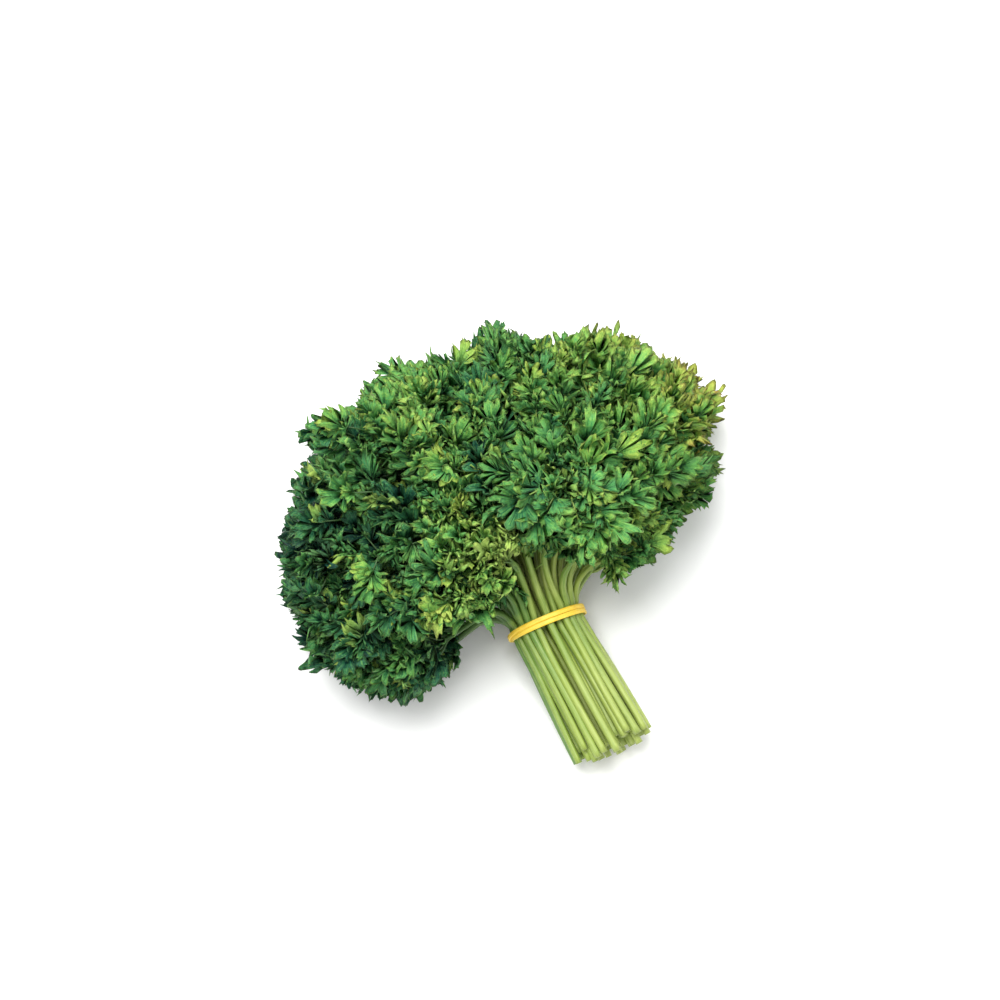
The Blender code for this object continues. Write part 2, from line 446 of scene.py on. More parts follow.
def leafMaterial(values):
    material, graph = newMaterial("parsleyLeaf")
    place = objectPlace(graph)
    edge, outward, under, tint, dry, own, warm = attributes(
        graph, "edge", "outward", "under", "tint", "dry", "own", "warm")
    clouds = noise(graph, place, values["cloudScale"], 3, 0.6)
    patches = noise(graph, place, values["patchScale"])
    curls = noise(graph, place, values["curlScale"], 1)
    specks = noise(graph, place, values["speckScale"], 2, 0.6)
    # these run out along the teeth
    streaks = noise(graph, graph.combined(edge, outward * 0.28, own * 12), values["streakScale"], 2, 0.6)
    fields = {"own": own, "outward": outward, "clouds": clouds, "patches": patches, "curls": curls,
              "specks": specks, "streaks": streaks}
    # the tint and the warmth carry the painted light and shade set where the leaves were laid out, besides
    # their own unevenness
    shade, warmthAndPaintedLight = varied(tint, fields, values["shading"]), varied(warm, fields, values["warmth"])
    wave = edge * (math.tau * values["veinWaves"]) + own * 2
    veins = (wave.then("SINE") * 0.5 + 0.5) * (1 - under) * 0.20 * shade.step(0.05, 0.5)
    rib = (1 - edge.step(0.0, 0.20)) * (1 - outward.step(0.6, 0.9)) * 0.26
    young = own.step(0.90, 1.0) * outward * shade.step(0.05, 0.3) * 0.6
    # a painted highlight along the edges of the teeth, on the lighter leaves only
    rim = edge.step(0.84, 1.0) * outward.step(0.3, 0.9) * shade.step(0.12, 0.55) * 0.42
    tips = (outward.step(0.50, 0.95) * dry * 1.2 + (clouds - 0.60).step(0.0, 0.15) * dry * 0.5).clipped()
    colour = layered(
        graph, graph.mix(warmthAndPaintedLight, graph.ramp(shade, values["cool"]), graph.ramp(shade, values["warm"])), values,
        (veins, "vein"), (rib, "rib"), (under * (0.12 + 0.4 * own * own), "underside"), (young, "young"),
        (rim, "paintedRimHighlight"), (tips, "dryTip"))
    return finished(
        material, graph, values, colour, values["roughness"] + clouds * 0.18 + under * 0.12,
        (1 - edge.step(0.0, 0.3)) * 0.30 + curls * 0.8 + specks * 0.25 + streaks * 0.9)


stemLook = {
    "light": (0.500, 0.550, 0.190),
    "pale": (0.282, 0.372, 0.062),
    "green": (0.105, 0.225, 0.034),
    "deep": (0.030, 0.085, 0.016),
    "cut": (0.560, 0.600, 0.300),
    "mottling": {"streaks": 1.35, "own": 0.95, "blotch": 0.35},
    "streakScale": 3.2,
    "fineScale": 9.0,
    "blotchScale": 95,
    "roughness": 0.34,
    "specular": 0.45,
    "bumpStrength": 0.3,
    "bumpDepth": 0.0002,
}


def stemMaterial(values):
    material, graph = newMaterial("parsleyStem")
    around, run, own, cut, climb = attributes(graph, "around", "run", "stemTint", "cutFace", "climb")
    place = roundPlace(graph, around, 1.3, run * 22 + own * 40)
    streaks = noise(graph, place, values["streakScale"], 4, 0.62)
    fine = noise(graph, place, values["fineScale"], 2, 0.6)
    blotch = noise(graph, objectPlace(graph), values["blotchScale"])
    green = varied(climb, {"streaks": streaks, "own": own, "blotch": blotch}, values["mottling"])
    # below a climb of 0, around the neck, the stems take the light colour: painted light against the shade of
    # the head
    colour = layered(
        graph, graph.mix(green, values["pale"], values["green"]), values,
        (((0.46 - streaks) * 6).clipped() * 0.5, "light"), ((climb * -2.0).clipped() * 0.8, "light"),
        ((climb - 1.0).clipped() * 1.2, "deep"), (((fine - 0.53) * 4).clipped() * 0.60, "deep"),
        (cut * 0.85, "cut"))
    return finished(material, graph, values, colour, values["roughness"] + streaks * 0.22,
                    streaks * 0.6 + fine * 0.4)


leafFinish, stemFinish = leafMaterial(leafLook), stemMaterial(stemLook)

print("building the sprig tree")

sprigTree = {
    "segmentLength": 0.0116,
    "rachis": 0.0055,      # from the foot of a leaflet to its end segment
    "frondStretch": 1.5,   # how much longer that is in a fully pinnate one
    "pairStep": 0.32,      # how far down the rachis the next pair of segments is
    "firstFan": 29.0,      # degrees from the end segment to the first pair
    "nextFan": 23.0,       # and from a pair to the next
    "fanJitter": 10.0,
    "ruffle": 0.62,        # how far the segments twist
    "lift": 0.52,          # how far they rise out of the leaflet
    "sideShrink": 0.08,    # how much smaller the next pair is
    "waveScale": 95.0,
    "waveHeight": 0.0026,
    "crimpScale": 260.0,
    "crimpHeight": 0.0012,
    "floorSoftness": 0.0040,
    "stemShare": 0.2,      # how much of the map for baking the stem and twigs take
    "seed": 3,
}
stemShape = {
    "stemSides": 18,
    "twigSides": 6,
    "stemGrooves": 6,
    "grooveDepth": 0.10,
    "rim": (0.80, 0.72),   # how wide the sunken pith of a cut end is, and its bottom as a share of that
    "pith": 0.0004,        # how deep it is sunk
}


def newTree(name, inputs):
    tree = bpy.data.node_groups.new(name, "GeometryNodeTree")
    for way in ("OUTPUT", "INPUT"):
        tree.interface.new_socket("Geometry", in_out=way, socket_type="NodeSocketGeometry")
    kinds = {int: "NodeSocketInt", float: "NodeSocketFloat", bpy.types.Collection: "NodeSocketCollection",
             bpy.types.Material: "NodeSocketMaterial"}
    for label, value in inputs.items():
        socket = tree.interface.new_socket(label, in_out="INPUT", socket_type=kinds[type(value)])
        if isinstance(value, (int, float)):
            socket.default_value = value
    graph = Graph(tree)
    entry = graph.add("NodeGroupInput", output=None)
    return tree, graph, {wire.socket.name: wire for wire in entry if wire.socket.name}


def closeTree(graph, geometry):
    smooth = graph.add("GeometryNodeSetShadeSmooth", {"domain": "FACE"},
                       {"Geometry": geometry, "Shade Smooth": True})
    graph.add("NodeGroupOutput", None, {"Geometry": smooth}, output=None)


def named(graph, name, kind="FLOAT"):
    return graph.add("GeometryNodeInputNamedAttribute", {"data_type": kind}, {"Name": name})


def stored(graph, geometry, name, value, kind="FLOAT", domain="POINT"):
    return graph.add("GeometryNodeStoreNamedAttribute", {"data_type": kind, "domain": domain},
                     {"Geometry": geometry, "Name": name, "Value": value})


def randomValue(graph, low, high, number, seed, kind="FLOAT"):
    return graph.add("FunctionNodeRandomValue", {"data_type": kind},
                     {"Min": low, "Max": high, "ID": number, "Seed": seed})


def keptOffFloor(graph, geometry, soft):
    # what would reach below the table is pressed flat just above it
    x, y, z = graph.separated(graph.add("GeometryNodeInputPosition"))
    pressed = z.then("MINIMUM", soft) / soft - 1
    height = z.then("MAXIMUM", soft) + soft * (pressed.then("EXPONENT") - 1)
    return graph.add("GeometryNodeSetPosition", None,
                     {"Geometry": geometry, "Position": graph.combined(x, y, height)})


def segmentPoints(graph, wires, points):
    # each leaflet point becomes an end segment and pairs of side segments along its rachis
    points, turn = graph.add("GeometryNodeDuplicateElements", {"domain": "POINT"}, {
        "Geometry": points, "Amount": named(graph, "segments", "INT")}, output=None)
    number, seed = graph.add("GeometryNodeInputIndex"), wires["seed"]
    own = randomValue(graph, 0.0, 1.0, number, seed + 9)
    for name, value in (("turn", turn), ("cell", number), ("own", own)):
        points = stored(graph, points, name, value)
    turn, size, frond = named(graph, "turn"), named(graph, "size"), named(graph, "frond")
    along, facing = named(graph, "along", "FLOAT_VECTOR"), named(graph, "facing", "FLOAT_VECTOR")
    pair = ((turn + 1) / 2).then("FLOOR")
    side = (turn.then("MODULO", 2.0) * 2 - 1) * turn.then("MINIMUM", 1.0)
    across = graph.vector("CROSS_PRODUCT", along, facing)
    degree = math.pi / 180
    nextFans = wires["nextFan"] * (pair - 1) * (1 - frond * 0.75)
    angle = side * (wires["firstFan"] + frond * 7 + nextFans) * degree
    angle = angle + randomValue(graph, -1.0, 1.0, number, seed) * wires["fanJitter"] * degree
    heading = graph.vector(
        "ADD", graph.vector("SCALE", along, angle.then("COSINE")),
        graph.vector("SCALE", across, angle.then("SINE")))
    rise = randomValue(graph, -0.6, 1.0, number, seed + 1) * wires["lift"]
    heading = graph.vector("ADD", heading, graph.vector("SCALE", facing, rise))
    sway = randomValue(graph, (-1, -1, -1), (1, 1, 1), number, seed + 2, "FLOAT_VECTOR")
    upward = graph.vector("ADD", facing, graph.vector("SCALE", sway, wires["ruffle"]))
    turned = graph.add("FunctionNodeAxesToRotation", {"primary_axis": "Y", "secondary_axis": "Z"},
                       [heading, upward])
    foot = (1 - wires["pairStep"] * pair) * wires["rachis"] * (1 + wires["frondStretch"] * frond) * size
    points = graph.add("GeometryNodeSetPosition", None,
                       {"Geometry": points, "Offset": graph.vector("SCALE", along, foot)})
    fine = randomValue(graph, 0, segmentShape["fineKinds"] - 1, number, seed + 3, "INT")
    broad = fine.then("MODULO", float(segmentShape["broadKinds"])) + segmentShape["fineKinds"]
    isBroad = named(graph, "broad")
    kind = fine * (1 - isBroad) + broad * isBroad
    scale = wires["segmentLength"] * size * (1 - wires["sideShrink"] * pair) * (1 - frond * 0.14)
    scale = scale * randomValue(graph, 0.74, 1.26, number, seed + 4)
    return points, kind, turned, scale


def leafBranch(graph, wires, points):
    points, kind, turned, scale = segmentPoints(graph, wires, points)
    kinds = graph.add("GeometryNodeCollectionInfo", None, {
        "Collection": wires["segments"], "Separate Children": True, "Reset Children": True})
    leaves = graph.add("GeometryNodeInstanceOnPoints", None, {
        "Points": points, "Instance": kinds, "Pick Instance": True, "Instance Index": kind,
        "Rotation": turned, "Scale": scale})
    leaves = graph.add("GeometryNodeRealizeInstances", None, {"Geometry": leaves})
    # slow and quick waves through space bend every segment its own way
    here, bends = graph.add("GeometryNodeInputPosition"), []
    for name, detail in (("wave", 1.0), ("crimp", 0.0)):
        field = graph.add("ShaderNodeTexNoise", None, {
            "Vector": here, "Scale": wires[name + "Scale"], "Detail": detail}, output="Color")
        field = graph.vector("SUBTRACT", field, (0.5, 0.5, 0.5))
        bends.append(graph.vector("SCALE", field, wires[name + "Height"] * 2))
    leaves = graph.add("GeometryNodeSetPosition", None, {
        "Geometry": leaves, "Offset": graph.vector("ADD", *bends)})
    leaves = keptOffFloor(graph, leaves, wires["floorSoftness"])
    # every segment has a cell of its own on the map for baking
    u, v, _ = graph.separated(named(graph, "segmentPlace", "FLOAT_VECTOR"))
    cell, columns, rows, below = named(graph, "cell"), wires["columns"], wires["rows"], wires["stemShare"]
    row = (cell / columns).then("FLOOR")
    where = graph.combined((cell - row * columns + u) / columns, below + (row + v) / rows * (1 - below))
    leaves = stored(graph, leaves, "OFBake", where, "FLOAT2", "CORNER")
    return graph.add("GeometryNodeSetMaterial", None, {"Geometry": leaves, "Material": wires["leaf"]})


def tubes(graph, lines, profile, sunken):
    # sweeps the profile along the lines and lays the tubes out on the map for baking
    made = graph.add("GeometryNodeCurveToMesh", None, {
        "Curve": lines, "Profile Curve": profile, "Scale": named(graph, "thick"), "Fill Caps": True})
    corners = graph.add("GeometryNodeInputMeshFaceNeighbors", output="Vertex Count")
    isCap = corners.then("GREATER_THAN", 4.5)
    made = stored(graph, made, "cutFace", isCap, domain="FACE")
    if sunken:
        # a cut stem has a firm rim around a sunken middle
        ends = isCap * named(graph, "share").then("LESS_THAN", 0.5)
        for size, push in zip(stemShape["rim"], (0.0, -stemShape["pith"])):
            made, top, side = graph.add("GeometryNodeExtrudeMesh", {"mode": "FACES"}, {
                "Mesh": made, "Selection": ends, "Offset Scale": push, "Individual": True}, output=None)
            made = graph.add("GeometryNodeStoreNamedAttribute", {"data_type": "FLOAT", "domain": "FACE"}, {
                "Geometry": made, "Selection": side, "Name": "cutFace", "Value": 1.0})
            made = graph.add("GeometryNodeScaleElements", None, {
                "Geometry": made, "Selection": top, "Scale": size})
            ends = top
    unwrapped = []
    for name in ("share", "around"):
        # the last faces of a closed round go on to 1 instead of back to 0
        value = named(graph, name)
        faceMean = graph.add("GeometryNodeFieldOnDomain", {"data_type": "FLOAT", "domain": "FACE"}, [value])
        unwrapped.append(value + faceMean.then("GREATER_THAN", 0.3) * value.then("LESS_THAN", 0.02))
    share, around = unwrapped
    here, ringMiddle = graph.add("GeometryNodeInputPosition"), named(graph, "ringMiddle", "FLOAT_VECTOR")
    disc = graph.vector("SCALE", graph.vector("SUBTRACT", here, ringMiddle), 1 / named(graph, "thick"))
    x, _, z = graph.separated(disc)
    cut = named(graph, "cutFace").then("GREATER_THAN", 0.5)
    along = share * 0.94 * (1 - cut) + (0.960 + share * 0.025 + x * 0.011) * cut
    around = around * (1 - cut) + (0.5 + z * 0.45) * cut
    low, size = named(graph, "mapLow", "FLOAT_VECTOR"), named(graph, "mapSize", "FLOAT_VECTOR")
    where = graph.vector("ADD", low, graph.vector("MULTIPLY", graph.combined(along, around), size))
    return stored(graph, made, "OFBake", where, "FLOAT2", "CORNER")


def roundProfile(graph, sides, grooves=0, depth=0.0):
    profile = graph.add("GeometryNodeCurvePrimitiveCircle", None, {"Resolution": sides, "Radius": 1.0})
    share = graph.add("GeometryNodeSplineParameter", output="Factor")
    profile = stored(graph, profile, "around", share)
    if grooves:
        swell = 1 + (share * math.tau * grooves).then("COSINE") * depth
        place = graph.vector("SCALE", graph.add("GeometryNodeInputPosition"), swell)
        profile = graph.add("GeometryNodeSetPosition", None, {"Geometry": profile, "Position": place})
    return profile


def stemBranch(graph, wires, skeleton):
    # the stem is a grooved tube along its line, and the twigs are thin plain ones
    parts = graph.add("GeometryNodeSeparateGeometry", {"domain": "POINT"},
                      {"Geometry": skeleton, "Selection": named(graph, "isStem", "BOOLEAN")}, output=None)
    profiles = (roundProfile(graph, *(stemShape[key] for key in ("stemSides", "stemGrooves", "grooveDepth"))),
                roundProfile(graph, stemShape["twigSides"]))
    made = []
    for part, profile, isStem in zip(parts, profiles, (True, False)):
        lines = graph.add("GeometryNodeMeshToCurve", None, {"Mesh": part})
        made.append(tubes(graph, lines, profile, isStem))
    whole = graph.add("GeometryNodeJoinGeometry", None, {"Geometry": made})
    return graph.add("GeometryNodeSetMaterial", None, {"Geometry": whole, "Material": wires["stem"]})


def sprigGraph(values):
    tree, graph, wires = newTree("parsleySprig", {
        **values, "columns": 1, "rows": 1, "segments": segmentKinds, "leaf": leafFinish, "stem": stemFinish})
    leaflets, lines = graph.add("GeometryNodeSeparateGeometry", {"domain": "POINT"}, {
        "Geometry": wires["Geometry"], "Selection": named(graph, "leaflet")}, output=None)
    branches = [leafBranch(graph, wires, leaflets), stemBranch(graph, wires, lines)]
    closeTree(graph, graph.add("GeometryNodeJoinGeometry", None, {"Geometry": branches}))
    return tree


def setInput(modifier, name, value):
    items = modifier.node_group.interface.items_tree
    socket = next(i for i in items if i.in_out == "INPUT" and i.name == name)
    modifier[socket.identifier] = value


sprigGrowth = sprigGraph(sprigTree)

print("laying out the leaflets")

foliage = {
    "outerSpacing": 0.0079,      # between leaflets at the surface of a crown
    "innerSpacing": 0.0140,
    "outerShare": 0.62,          # how much of the surface is filled at this spacing
    "innerShare": 0.5,
    "leastRoom": 0.0015,
    "tries": 16,
    "sink": (0.0040, 0.0170),    # how far inside the crown's surface an outer leaflet starts
    "crease": 0.0115,            # how much deeper at the border between two crowns
    "innerSink": (0.010, 0.030),
    "innerDepth": 0.020,         # the depth for which an inner leaflet is painted darker, as painted shade
    "leafletLength": 0.0180,
    "leafletSide": 0.0060,
    "sizes": (0.75, 0.90, 1.0, 1.08, 1.20),
    "segments": (3, 5, 5),       # of a leaflet that isn't pinnate
    "frondSegments": 7,
    "frondFrom": 0.45,           # how pinnate a leaflet is that has that many
    "limits": (0.0945, 0.1040),  # how high and how far back the ends may be
    "stemRadius": 0.00152,
    "crownStemRadius": 0.00105,
    "twigRadius": 0.00042,
    "stemStep": 0.0028,          # between the points of a stem
    "stemBow": 0.0009,
    # heading from the neck in degrees, and how far the leaves reach and where they begin, in mm
    "outline": (
        (-10, 42), (0, 44), (6, 52), (12, 66), (20, 73), (25, 73), (28, 77), (30, 101),
        (34, 105), (36, 101), (37, 93), (40, 91), (41.5, 103), (43, 119), (45, 124), (50, 125),
        (55, 124), (58, 121), (60, 112), (62, 113), (65, 123), (70, 125), (75, 122),
        (80, 116), (84, 110), (87, 111), (91, 118), (97, 121), (102, 121), (105, 111), (107.5, 105),
        (111, 109), (115, 112), (120, 116), (125, 119), (130, 117),
        (135, 115), (140, 117), (144, 129), (147, 129), (150, 117), (160, 117), (165, 114), (170, 118),
        (175, 115), (185, 112), (195, 109), (205, 101), (215, 90), (225, 72), (235, 50)),
    # the lowest y of the leaves at an x on the right, and below the neck the furthest x at a y, in mm
    "lowerEdge": ((36, -12), (43, -12), (45, 7), (50, 10), (62, 16), (70, 28), (76, 42), (82, 47),
                  (90, 51), (94, 58), (100, 68)),
    "rightFrom": 38,             # how far right the lower edge begins
    "archEdge": ((-60, -38), (-40, -36), (-26, -34), (-16, -30), (-8, -23), (-4, -18)),
    "archBelow": -4,             # how far below the neck the arch begins
    "opening": (
        (-20, 31), (0, 30), (10, 29), (20, 27), (30, 22), (45, 16), (60, 12), (120, 11), (150, 11),
        (180, 12), (190, 13), (198, 19), (205, 27), (210, 35), (218, 42), (223, 47), (230, 51), (240, 60)),
    "openingEnd": 200,           # the heading at which the arch takes over
    "tipCover": 9,               # how far under the leaves, in mm, a stem has to end
    "tipCoverEnd": 195,
    "gapDepth": 13,              # in mm, what would be sunk deeper into a gap is left out
    "seed": 21,
}
# Lighter and darker places, where light and shade are painted on the leaves: where they are in millimetres
# right of and above the neck, how wide, and what they add to the tint, the warmth, the dryness and the depth
# (in mm) of the leaves.
patches = (
    # lighter: painted light, some also yellower or with drier tips
    ((-66, 66), 32, 0.26, 0.04), ((-53, 92), 20, 0.14, 0.06),
    ((35, 100), 24, 0.09, 0.04, 0.10), ((78, 82), 22, 0.10, 0.26, 0.70),
    ((40, 112), 11, 0.02, 0.24, 0.90), ((48, 74), 16, 0.06, 0.02),
    ((-37, -8), 14, 0.22, 0.20), ((-42, 37), 16, 0.06, -0.04),
    ((-14, 16), 20, 0.52, 0.02), ((-32, 4), 16, 0.24, 0.02),
    ((-80, -22), 22, 0.09, 0.04), ((-5, 70), 22, 0.05, 0.00),
    ((12, 92), 22, 0.14, 0.00), ((50, 95), 20, 0.10, 0.00),
    # young, yellower leaves, their extra lightness a painted highlight
    ((-80, 42), 6, 0.26, 0.32), ((-75, 33), 5, 0.26, 0.38),
    ((-73, 13), 6, 0.34, 0.46), ((-82, 13), 5, 0.26, 0.36),
    ((-101, 8), 5, 0.30, 0.40), ((-94, 0), 6, 0.34, 0.46),
    ((-85, -11), 7, 0.36, 0.46), ((-60, -10), 6, 0.30, 0.38),
    ((-56, -21), 5, 0.26, 0.34), ((-63, -29), 6, 0.24, 0.32),
    ((-39, 23), 6, 0.26, 0.34), ((-51, 33), 5, 0.28, 0.38),
    ((-68, 54), 6, 0.26, 0.38), ((-31, 33), 6, 0.28, 0.42),
    ((-7, 48), 6, 0.18, 0.32), ((-18, 87), 6, 0.14, 0.34, 0.20),
    ((-7, 8), 6, 0.10, 0.28),
    # darker: painted shade
    ((-12, 106), 14, -0.22, -0.08), ((-109, 19), 24, -0.10, -0.05),
    ((-46, -28), 12, -0.10, -0.04, 0.00, 4), ((57, 20), 9, -0.08, 0.00, 0.00, 2),
    ((13, 46), 20, -0.05, -0.05), ((-109, -10), 16, -0.06, 0.00),
    # gaps between the leaves: painted shade, where the leaves are also sunk deeper
    ((-61, 48), 10, -0.26, -0.05, 0.00, 27), ((-62, 60), 8, -0.24, -0.05, 0.00, 22),
    ((-33, 83), 9, -0.24, -0.04, 0.00, 24), ((-41, 74), 6, -0.20, -0.04, 0.00, 16),
    ((-14, 57), 8, -0.24, 0.00, 0.00, 22), ((23, 87), 8, -0.22, 0.00, 0.00, 24),
    ((-72, 29), 9, -0.24, -0.05, 0.00, 24), ((-56, 10), 8, -0.22, -0.05, 0.00, 20),
    ((-95, 60), 8, -0.18, 0.00, 0.00, 16), ((61, 49), 9, -0.22, 0.00, 0.00, 24),
    ((-14, 36), 7, -0.20, 0.00, 0.00, 16), ((-84, -4), 8, -0.16, 0.00, 0.00, 16),
    ((48, 92), 6, -0.12, 0.00, 0.00, 12), ((-46, -20), 7, -0.14, 0.00, 0.00, 16),
)
# Where the longer, flatter lobes are, and how wide that place is
longLobes = ((30, 45), 34)
# Leaves that stand out: where they start in millimetres from the neck, heading, size, how far
# they lean up, how pinnate and how broad they are, and what they add to the tint and the warmth
standOut = (
    # the rosette right of the middle
    (19, 48, 32, 1.55, 0.20, 0.8, 0.0, 0.10, 0.10), (16, 52, 62, 1.40, 0.25, 0.7, 0.0, 0.06, 0.05),
    (11, 53, 98, 1.25, 0.30, 0.5, 0.0, 0.04, 0.00), (6, 51, 135, 1.25, 0.25, 0.5, 0.0, 0.02, 0.00),
    (4, 47, 172, 1.50, 0.20, 0.8, 1.0, 0.06, 0.12), (5, 43, 207, 1.45, 0.15, 0.7, 0.0, 0.04, 0.06),
    (9, 39, 240, 1.30, 0.20, 0.6, 0.0, 0.00, 0.00), (11, 37, 263, 1.45, 0.20, 0.8, 0.0, 0.10, 0.10),
    (16, 37, 287, 1.40, 0.20, 0.7, 0.0, 0.06, 0.04), (20, 40, 318, 1.35, 0.20, 0.7, 0.0, 0.04, 0.05),
    (22, 44, 345, 1.55, 0.15, 0.9, 0.0, 0.08, 0.06), (13, 46, 20, 0.90, 0.90, 0.2, 0.0, 0.02, 0.05),
    # long leaves that reach out to the right
    (52, 55, 12, 1.40, 0.10, 1.0, 0.0, 0.02, 0.12), (66, 52, 18, 1.30, 0.05, 1.0, 0.0, 0.00, 0.16),
    (44, 36, -12, 1.30, 0.10, 0.9, 0.0, 0.04, 0.04), (58, 66, 34, 1.35, 0.10, 0.9, 0.0, 0.04, 0.10),
    (40, 62, 48, 1.35, 0.15, 0.9, 0.0, 0.06, 0.08), (34, 27, 10, 1.10, 0.10, 0.8, 0.0, 0.04, 0.04),
    # the sprig that hangs beside the neck
    (34, 14, -76, 1.05, 0.00, 0.4, 0.0, 0.26, 0.10), (38, 15, -58, 0.80, 0.00, 0.3, 0.0, 0.22, 0.08),
    (33, 19, -98, 0.62, 0.10, 0.2, 0.0, 0.14, 0.04),
    # the dark leaf at the top, and the one that juts out at the upper left
    (-20, 97, 116, 1.55, 0.05, 0.6, 1.0, -0.04, -0.04), (-10, 99, 96, 1.65, 0.10, 0.6, 1.0, -0.04, -0.02),
    (0, 97, 76, 1.45, 0.05, 0.6, 1.0, -0.04, -0.04), (-14, 92, 104, 1.20, 0.10, 0.5, 1.0, -0.02, -0.02),
    (82, 50, 8, 1.15, 0.00, 0.9, 0.0, 0.04, 0.14),
    (-92, 68, 148, 1.20, 0.00, 0.8, 0.0, 0.10, 0.06), (-90, 72, 128, 0.95, 0.05, 0.6, 0.0, 0.06, 0.04),
    # fans that catch the light at the left and in the middle, their added tint and warmth painted light
    (-48, 20, 200, 1.25, 0.30, 0.3, 1.0, 0.14, 0.12), (-36, -4, 230, 1.15, 0.30, 0.3, 0.0, 0.16, 0.14),
    (-66, 12, 250, 1.10, 0.30, 0.3, 0.0, 0.12, 0.12), (-30, 50, 160, 1.20, 0.40, 0.3, 0.0, 0.10, 0.10),
    (-78, 70, 170, 1.15, 0.30, 0.3, 0.0, 0.10, 0.10), (-50, 84, 120, 1.25, 0.35, 0.3, 0.0, 0.10, 0.12),
    (-88, 30, 185, 1.10, 0.30, 0.3, 0.0, 0.10, 0.10), (-20, 74, 110, 1.20, 0.40, 0.3, 0.0, 0.08, 0.08),
)


Leaflet = namedtuple("Leaflet", "place along facing size tint warm dry segments broad frond")


def randomDirection(rng):
    while True:
        v = Vector([rng.uniform(-1, 1) for _ in range(3)])
        if 0.05 < v.length < 1:
            return v.normalized()


def surfacePoint(faces, weights, rng):
    a, b, c = rng.choices(faces, weights)[0]
    u, v = rng.random(), rng.random()
    if u + v > 1:
        u, v = 1 - u, 1 - v
    return a + (b - a) * u + (c - a) * v


def faceArea(face):
    return (face[1] - face[0]).cross(face[2] - face[0]).length / 2


def patchSums(p):
    # how much the lighter and darker places change the leaves here
    x, y = seenFromAbove(p)
    sums = [0.0, 0.0, 0.0, 0.0]
    for centre, wide, *changes in patches:
        strength = fade(x, y, centre, wide)
        sums = [s + strength * change for s, change in zip(sums, [*changes, 0, 0])]
    return sums


def headingAndReach(p):
    x, y = seenFromAbove(p)
    turn = math.degrees(math.atan2(y, x))
    return turn + 360 if turn < -90 else turn, math.hypot(x, y)


def headingVector(turn):
    # the way that a heading points, in the plane of the picture
    a = math.radians(turn)
    return viewRight * math.cos(a) + viewUp * math.sin(a)


def squareTo(along, facing):
    return (facing - along * facing.dot(along)).normalized()


def besideAxis(sprig, p):
    return p - (neckPoint + sprig["axis"] * (p - neckPoint).dot(sprig["axis"]))


def leafletSpots(sprig, taken, rng, values):
    # places in the crown, each the one with the most room of several tries
    axis = sprig["axis"]
    radius = max(besideAxis(sprig, corner).length for face in sprig["outerFaces"] for corner in face)
    found = []
    for outer in (True, False):
        layer, faces = ("outer", sprig["outerFaces"]) if outer else ("inner", sprig["faces"])
        weights = [faceArea(f) for f in faces]
        spacing = values[layer + "Spacing"]
        count = max(2, round(sum(weights) / spacing ** 2 * values[layer + "Share"]))
        depth = values["innerDepth"]
        for _ in range(count):
            best, room = None, values["leastRoom"]
            for _ in range(values["tries"]):
                p = surfacePoint(faces, weights, rng)
                radial = (p - neckPoint).normalized()
                border = clip(besideAxis(sprig, p).length / radius) ** 2
                if outer:
                    depth = rng.uniform(*values["sink"]) + values["crease"] * border
                    p = p - radial * depth
                else:
                    inward = neckPoint + axis * (p - neckPoint).dot(axis) - p
                    p = p - radial * rng.uniform(*values["innerSink"]) + inward * rng.uniform(0, 0.5)
                turn, reach = headingAndReach(p)
                x, y = seenFromAbove(p)
                opening = between(values["opening"], turn) + values["leafletSide"] * 1000
                if turn < values["openingEnd"] and reach < opening:
                    continue
                if y < values["archBelow"] and -60 < x and x > between(values["archEdge"], y) - 8:
                    continue
                near = min(((p - q).length for q in taken), default=1)
                if near > room:
                    best, room = (p, outer, border, depth), near
            if best:
                taken.append(best[0])
                found.append(best)
    return found


def surfaceAt(x, y):
    # the crown that is uppermost at this place in the picture, and the point on it
    start = neckPoint + (viewRight * x + viewUp * y) / 1000 + viewBack * 0.3
    best = None
    for number, sprig in enumerate(sprigs):
        for a, b, c, *rest in sprig["outerFaces"]:
            for corners in ((a, b, c), (a, c, rest[0])) if rest else ((a, b, c),):
                hit = intersect_ray_tri(*corners, -viewBack, start, True)
                if hit and (best is None or (start - hit).length < best[0]):
                    best = ((start - hit).length, number, hit)
    if best:
        return best[1], best[2]
    number = min(range(len(sprigs)), key=lambda k: math.dist(seenFromAbove(sprigs[k]["tip"]), (x, y)))
    tip = sprigs[number]["tip"]
    tipX, tipY = seenFromAbove(tip)
    return number, tip + (viewRight * (x - tipX) + viewUp * (y - tipY)) / 1000


def chosenLeaves(leaves, rng, values):
    # the large leaves that stand out in the photo, by the number of their sprig
    found = {}
    for x, y, turn, size, lean, frond, broad, tint, warm in leaves:
        number, p = surfaceAt(x, y)
        along = (headingVector(turn) + viewBack * lean).normalized()
        facing = squareTo(along, viewBack + randomDirection(rng) * 0.35)
        look = leafToneAndPaintedLight(p, 0.3, 0.006, rng)
        look = [look[0] + tint, min(1, look[1] + warm), look[2]]
        p = p + viewBack * 0.003
        for _ in range(3):
            p = withinOutline(p, along, size, frond, values)
        segments = values["frondSegments"] if frond > values["frondFrom"] else 5
        leaflet = Leaflet(p, along, facing, size, *look, segments, broad, frond)
        found.setdefault(number, []).append(leaflet)
    return found


